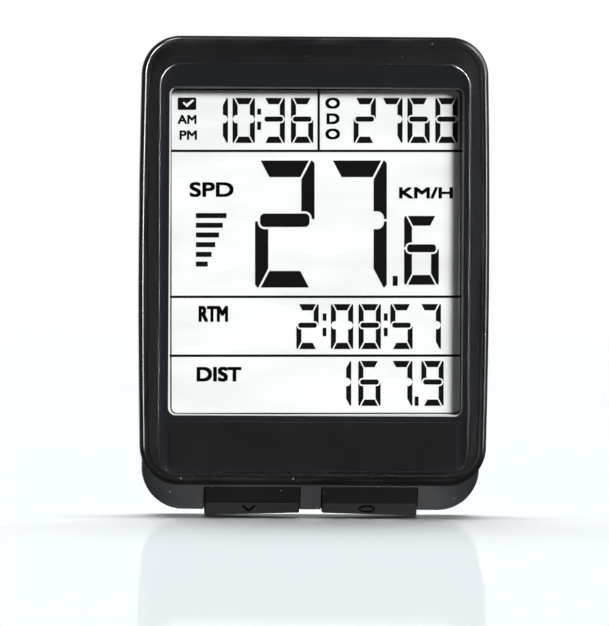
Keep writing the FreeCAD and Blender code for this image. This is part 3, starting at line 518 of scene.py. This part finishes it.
def legend(name, text, box, ink, y, bold):
    """Lettering scaled to fill a (left, top, right, bottom) box on the display, and stamped five
    times, a little apart, to thicken its strokes."""
    curve = bpy.data.curves.new(name, "FONT")
    curve.body = text
    curve.fill_mode = "BOTH"
    curve.extrude = 0.01
    source = bpy.data.objects.new(name + "_text", curve)
    bpy.context.scene.collection.objects.link(source)
    bpy.context.view_layer.update()
    mesh = bpy.data.meshes.new_from_object(source.evaluated_get(bpy.context.evaluated_depsgraph_get()))
    bpy.data.objects.remove(source)
    mesh.name = name
    xs = [v.co.x for v in mesh.vertices]
    ys = [v.co.y for v in mesh.vertices]
    left, top, right, bottom = box
    across = (right - left - 2.0 * bold) / (max(xs) - min(xs))
    down = (bottom - top - 2.0 * bold) / (max(ys) - min(ys))
    points = []
    faces = []
    for shift_u, shift_v in ((-1, -1), (1, -1), (0, 0), (-1, 1), (1, 1)):
        start = len(points)
        for vertex in mesh.vertices:
            u = left + bold * (1 + shift_u) + (vertex.co.x - min(xs)) * across
            v = top + bold * (1 + shift_v) + (max(ys) - vertex.co.y) * down
            depth = y - INK_THICKNESS if vertex.co.z > 0.0 else y
            points.append(window_point(u, v, depth))
        faces.extend([start + i for i in polygon.vertices] for polygon in mesh.polygons)
    mesh.clear_geometry()
    mesh.from_pydata(points, [], faces)
    mesh.materials.clear()
    mesh.materials.append(ink)
    return place_piece(bpy.data.objects.new(name, mesh), "case")


def ring_shape(cx, cy, outer_x, outer_y, stroke, steps=32):
    """Four quarter outlines that together make an oval ring."""
    quarters = []
    for quarter in range(4):
        outside = []
        inside = []
        for i in range(steps // 4 + 1):
            turn = math.tau * (quarter * (steps // 4) + i) / steps
            outside.append((cx + outer_x * math.cos(turn), cy + outer_y * math.sin(turn)))
            inside.append((cx + (outer_x - stroke) * math.cos(turn), cy + (outer_y - stroke) * math.sin(turn)))
        quarters.append(outside + inside[::-1])
    return quarters


def stroke_shape(points, width):
    """A band of the given width along a line of points, as one outline."""
    left = []
    right = []
    for i, (x, y) in enumerate(points):
        before = points[max(i - 1, 0)]
        after = points[min(i + 1, len(points) - 1)]
        direction = Vector((after[0] - before[0], after[1] - before[1])).normalized()
        side = Vector((-direction.y, direction.x)) * width / 2.0
        if 0 < i < len(points) - 1:
            first = Vector((x - before[0], y - before[1])).normalized()
            side = side / max(0.35, abs(first.dot(direction)))
        left.append((x + side.x, y + side.y))
        right.append((x - side.x, y - side.y))
    return left + right[::-1]


def make_trim():
    """Pale sloping edge of the seal round the display, just in front of the case's own lip."""
    outer_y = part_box("lens_mask")[1].y / MM + 0.14
    rings = []
    for inset, y in ((-0.05, outer_y), (TRIM_WIDTH, outer_y + TRIM_DEPTH)):
        outline = rounded_bar(inset, inset, WINDOW_WIDTH - 2 * inset, WINDOW_HEIGHT - 2 * inset, WINDOW_R - inset)
        rings.append([((WINDOW_LEFT + u) * MM, y * MM, (WINDOW_TOP - v) * MM) for u, v in outline])
    count = len(rings[0])
    mesh = bpy.data.meshes.new("window_trim")
    faces = [[i, (i + 1) % count, count + (i + 1) % count, count + i] for i in range(count)]
    mesh.from_pydata(rings[0] + rings[1], [], faces)
    mesh.materials.append(film("trim_pale", (0.42, 0.43, 0.42), 0.4))
    place_piece(bpy.data.objects.new("window_trim", mesh), "case")


def make_display(ink, paper):
    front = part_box("lcd_polariser_front")[0].y / MM - INK_GAP
    face = display_face(front)
    lines = Ink("display_lines", face)
    for depth in ROW_LINES:
        lines.bar(0.0, depth - LINE_THICKNESS / 2.0, WINDOW_WIDTH, LINE_THICKNESS)
    lines.bar(19.71 - LINE_THICKNESS / 2.0, 0.13, LINE_THICKNESS, 8.1)
    lines.piece(ink)

    digits("clock_digits", "1036", (4.86, 8.40, 12.34, 16.07), 1.40, SMALL_DIGIT, ink, front)
    digits("odometer_digits", "2768", (24.30, 27.80, 31.38, 35.05), 1.40, SMALL_DIGIT, ink, front)
    digits("speed_digits", "27", (11.36, 20.86), 9.62, SPEED_DIGIT, ink, front)
    digits("tenths_digit", "6", (30.96,), 16.9, TENTHS_DIGIT, ink, front)
    digits("ride_time_digits", "20857", (16.79, 21.33, 24.97, 29.15, 32.87), 28.48, SMALL_DIGIT, ink, front)
    digits("distance_digits", "1679", (21.07, 24.94, 29.12, 33.23), 35.95, SMALL_DIGIT, ink, front)

    points = Ink("display_points", face)
    for left, top, height in (
        (11.64, 2.82, 0.77),
        (11.64, 4.52, 1.08),
        (20.24, 29.71, 0.97),
        (20.24, 31.6, 1.11),
        (28.29, 29.71, 0.97),
        (28.29, 31.6, 1.11),
        (32.36, 40.64, 1.23),
    ):
        points.bar(left, top, 0.5, height)
    points.bar(29.45, 24.78, 0.66, 1.31)
    points.piece(ink)

    bars = Ink("speed_bars", face)
    for i in range(6):
        bars.bar(3.59, 16.52 + 1.274 * i, 4.02 - 0.494 * i, 0.66)
    bars.piece(ink)

    # Painted shade: a dark ink ring where the gap between the seal and the display lies in shade.
    gap_shade = Ink("display_gap_shade", face)
    outer, inner = (
        rounded_bar(inset, inset, WINDOW_WIDTH - 2 * inset, WINDOW_HEIGHT - 2 * inset, WINDOW_R - inset)
        for inset in (GAP_SHADE_INSET, GAP_SHADE_INSET + GAP_SHADE_WIDTH)
    )
    for i in range(len(outer)):
        j = (i + 1) % len(outer)
        gap_shade.shape([outer[i], outer[j], inner[j], inner[i]])
    gap_shade.piece(ink)

    box = Ink("check_box", face)
    box.shape(rounded_bar(1.19, 1.36, 2.44, 1.62, 0.2))
    box.piece(ink)
    tick = Ink("check_tick", display_face(front - INK_THICKNESS))
    tick.shape(stroke_shape([(1.92, 1.98), (2.36, 2.42), (3.24, 1.70)], 0.24))
    tick.piece(paper, slot="reflector")

    legend("legend_am", "AM", (1.17, 3.63, 3.66, 4.83), ink, front, 0.05)
    legend("legend_pm", "PM", (1.44, 5.67, 3.72, 6.9), ink, front, 0.05)
    legend("legend_odo_top", "O", (20.6, 1.36, 22.5, 2.82), ink, front, 0.08)
    legend("legend_odo_middle", "D", (20.75, 3.42, 22.45, 4.85), ink, front, 0.08)
    legend("legend_odo_bottom", "O", (20.6, 5.42, 22.5, 6.85), ink, front, 0.08)
    legend("legend_speed", "SPD", (2.76, 12.45, 8.53, 14.42), ink, front, 0.08)
    legend("legend_units", "KM/H", (30.29, 13.11, 37.37, 14.63), ink, front, 0.08)
    legend("legend_ride_time", "RTM", (3.94, 28.71, 7.81, 30.81), ink, front, 0.1)
    legend("legend_distance", "DIST", (3.68, 36.71, 9.58, 38.67), ink, front, 0.1)


def make_key_marks():
    """A down arrow and a ring, printed on the sloping lower faces of the keys."""
    mark = film("key_mark", (0.004, 0.004, 0.004), 0.5, specular=0.2)
    arrow = Ink("button_left_mark", key_face("button_left"))
    arrow.shape(stroke_shape([(-9.0, -43.4), (-8.2, -44.1), (-7.4, -43.4)], 0.3))
    arrow.piece(mark, body="button_left")
    ring = Ink("button_right_mark", key_face("button_right"))
    for quarter in ring_shape(7.4, -43.78, 1.1, 0.5, 0.24):
        ring.shape(quarter)
    ring.piece(mark, body="button_right")


# ---- studio ----
def make_camera():
    turn = math.radians(CAMERA_AZIMUTH_DEG)
    rise = math.radians(CAMERA_ELEVATION_DEG)
    back = Vector((math.sin(turn) * math.cos(rise), -math.cos(turn) * math.cos(rise), math.sin(rise)))
    aim = Vector((AIM_X * MM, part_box("front_shell")[0].y, AIM_Z * MM))
    data = bpy.data.cameras.new("camera")
    data.sensor_fit = "HORIZONTAL"
    data.sensor_width = SENSOR_WIDTH
    data.lens = SENSOR_WIDTH * CAMERA_DISTANCE / VIEW_WIDTH
    data.clip_start = 0.01
    data.clip_end = 20.0
    camera = bpy.data.objects.new("camera", data)
    bpy.context.scene.collection.objects.link(camera)
    camera.rotation_mode = "QUATERNION"
    camera.location = aim + back * CAMERA_DISTANCE * MM
    look = (-back).to_track_quat("-Z", "Y")
    camera.rotation_quaternion = look @ Quaternion(UP, math.radians(CAMERA_ROLL_DEG))
    bpy.context.scene.camera = camera


def sun(name, direction, strength, angle):
    data = bpy.data.lights.new(name, "SUN")
    data.energy = strength
    data.angle = math.radians(angle)
    light = bpy.data.objects.new(name, data)
    bpy.context.scene.collection.objects.link(light)
    light.rotation_mode = "QUATERNION"
    light.rotation_quaternion = direction.normalized().to_track_quat("Z", "Y")
    return light


def linked_group(name, pieces, state):
    group = bpy.data.collections.new(name)
    for i, piece in enumerate(pieces):
        group.objects.link(piece)
        group.collection_objects[i].light_linking.link_state = state
    return group


def light_only(light, pieces, state="INCLUDE"):
    """Makes the light reach only these pieces, or everything but them."""
    light.light_linking.receiver_collection = linked_group(light.name + "_receivers", pieces, state)


def let_through(light, pieces):
    """Makes these pieces cast no shadow from the light."""
    light.light_linking.blocker_collection = linked_group(light.name + "_blockers", pieces, "EXCLUDE")


def make_floor():
    radius = FLOOR_RADIUS * MM
    height = cad_bounds[0].z - FLOOR_GAP * MM
    sides = 96
    rim = [(radius * math.cos(math.tau * i / sides), radius * math.sin(math.tau * i / sides), height) for i in range(sides)]
    mesh = bpy.data.meshes.new("floor")
    mesh.from_pydata(rim, [], [list(range(sides))])
    mesh.materials.append(floor_material())
    floor = bpy.data.objects.new("floor", mesh)
    bpy.context.scene.collection.objects.link(floor)
    floor.visible_diffuse = False
    floor.visible_glossy = False
    return floor


def floor_material():
    """White sheet that mirrors faintly and fades out far from the object."""
    material = bpy.data.materials.new("floor")
    material.use_nodes = True
    nodes = material.node_tree.nodes
    links = material.node_tree.links
    nodes.remove(nodes["Principled BSDF"])
    white = nodes.new("ShaderNodeBsdfDiffuse")
    white.inputs["Color"].default_value = (0.79, 0.83, 0.86, 1.0)
    mirror = nodes.new("ShaderNodeBsdfGlossy")
    mirror.inputs["Roughness"].default_value = 0.02
    sheen = nodes.new("ShaderNodeMixShader")
    sheen.inputs["Fac"].default_value = 0.15
    links.new(white.outputs["BSDF"], sheen.inputs[1])
    links.new(mirror.outputs["BSDF"], sheen.inputs[2])
    place = nodes.new("ShaderNodeTexCoord")
    length = nodes.new("ShaderNodeVectorMath")
    length.operation = "LENGTH"
    links.new(place.outputs["Object"], length.inputs[0])
    fade = nodes.new("ShaderNodeMapRange")
    fade.interpolation_type = "SMOOTHSTEP"
    fade.inputs["From Min"].default_value = 0.15
    fade.inputs["From Max"].default_value = 1.3
    links.new(length.outputs["Value"], fade.inputs["Value"])
    clear = nodes.new("ShaderNodeBsdfTransparent")
    mix = nodes.new("ShaderNodeMixShader")
    links.new(fade.outputs["Result"], mix.inputs["Fac"])
    links.new(sheen.outputs["Shader"], mix.inputs[1])
    links.new(clear.outputs["BSDF"], mix.inputs[2])
    links.new(mix.outputs["Shader"], nodes["Material Output"].inputs["Surface"])
    return material


def make_world():
    """White backdrop. It is bright at the sides and right behind, for the floor's mirror, and dark
    between, which keeps the object's outline dark. The camera's side is dim."""
    world = bpy.data.worlds.new("studio")
    world.use_nodes = True
    bpy.context.scene.world = world
    nodes = world.node_tree.nodes
    links = world.node_tree.links
    around = nodes["Background"]
    place = nodes.new("ShaderNodeTexCoord")
    split = nodes.new("ShaderNodeSeparateXYZ")
    links.new(place.outputs["Generated"], split.inputs["Vector"])
    height = nodes.new("ShaderNodeMapRange")
    height.inputs["From Min"].default_value = -1.0
    height.inputs["From Max"].default_value = 1.0
    links.new(split.outputs["Y"], height.inputs["Value"])
    ramp = nodes.new("ShaderNodeValToRGB")
    stops = [(0.0, 0.015), (0.455, 0.02), (0.5, 0.22), (0.66, 0.2), (0.8, 0.04), (0.985, 0.03), (0.992, 1.12)]
    while len(ramp.color_ramp.elements) < len(stops):
        ramp.color_ramp.elements.new(0.5)
    for element, (position, level) in zip(ramp.color_ramp.elements, stops):
        element.position = position
        element.color = (level, level, level, 1.0)
    links.new(height.outputs["Result"], ramp.inputs["Fac"])
    links.new(ramp.outputs["Color"], around.inputs["Color"])
    around.inputs["Strength"].default_value = 1.0
    seen = nodes.new("ShaderNodeBackground")
    seen.inputs["Strength"].default_value = 1.0
    seen.inputs["Color"].default_value = (1.0, 1.0, 1.0, 1.0)
    path = nodes.new("ShaderNodeLightPath")
    mix = nodes.new("ShaderNodeMixShader")
    links.new(path.outputs["Is Camera Ray"], mix.inputs["Fac"])
    links.new(around.outputs["Background"], mix.inputs[1])
    links.new(seen.outputs["Background"], mix.inputs[2])
    links.new(mix.outputs["Shader"], nodes["World Output"].inputs["Surface"])


def make_studio():
    make_camera()
    make_world()
    floor = make_floor()
    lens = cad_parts["display_lens"]
    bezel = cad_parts["front_bezel"]
    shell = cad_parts["front_shell"]
    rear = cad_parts["rear_shell"]
    keys = [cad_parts["button_left"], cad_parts["button_right"]]
    key = sun("key", KEY_DIRECTION, KEY_STRENGTH, KEY_ANGLE_DEG)
    light_only(key, [floor, shell, rear], "EXCLUDE")
    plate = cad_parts["name_plate"]
    let_through(key, [lens, bezel, plate])  # the clear lens bends the light round its pocket's edge
    top = sun("floor_light", FLOOR_LIGHT_DIRECTION, FLOOR_LIGHT_STRENGTH, FLOOR_LIGHT_ANGLE_DEG)
    light_only(top, [floor])
    for name, direction, strength, angle, pieces in (
        ("rim_left", (-0.4, -0.92, 0.08), 3.0, 14.0, [shell]),
        ("rim_right", (0.77, -0.64, 0.05), 1.0, 10.0, [shell]),
        ("rim_top", (-0.19, -0.44, 0.87), 1.6, 20.0, [shell]),
        ("rim_corner_left", (-0.42, -0.8, 0.42), 3.2, 16.0, [shell]),
        ("rim_corner_right", (0.5, -0.72, 0.5), 1.4, 16.0, [shell]),
        ("land_left", (-0.28, -0.96, -0.05), 0.055, 8.0, [bezel]),
        ("land_right", (0.28, -0.96, -0.05), 0.02, 8.0, [bezel]),
        ("land_bottom", (0.0, -0.96, -0.28), 0.06, 10.0, [bezel]),
        ("lens_left", (-1.0, -0.4, 0.3), 7.0, 36.0, [lens]),
        ("lens_right", (1.0, -0.4, 0.3), 7.0, 36.0, [lens]),
        ("lens_corner_left", (-0.8, -0.4, 0.8), 20.0, 40.0, [lens]),
        ("lens_corner_right", (0.6, -0.4, 1.0), 20.0, 36.0, [lens]),
        ("key_fill", (0.1, -0.7, -1.0), 4.6, 40.0, keys),
        ("chin_fill", (0.0, -1.0, -0.8), 6.0, 40.0, [rear]),
        ("side_fill", (1.0, -0.35, 0.6), 3.0, 60.0, [rear, shell]),
    ):
        light = sun(name, Vector(direction), strength, angle)
        light_only(light, pieces)
        let_through(light, [lens, bezel, shell, floor])
    light_only(sun("back", Vector((-0.3, 1.0, 0.8)), 8.0, 60.0), [floor, shell, lens], "EXCLUDE")
    bpy.context.scene.view_settings.view_transform = "Standard"


finish_nodes()
part_faces("lens_mask", 0.02)
ink = film("display_ink", (0.004, 0.004, 0.0045), 0.45, specular=0.1)
paper = film("display_paper", (0.9, 0.915, 0.905), 0.6, specular=0.2)
make_display(ink, paper)
make_trim()
make_key_marks()
make_studio()
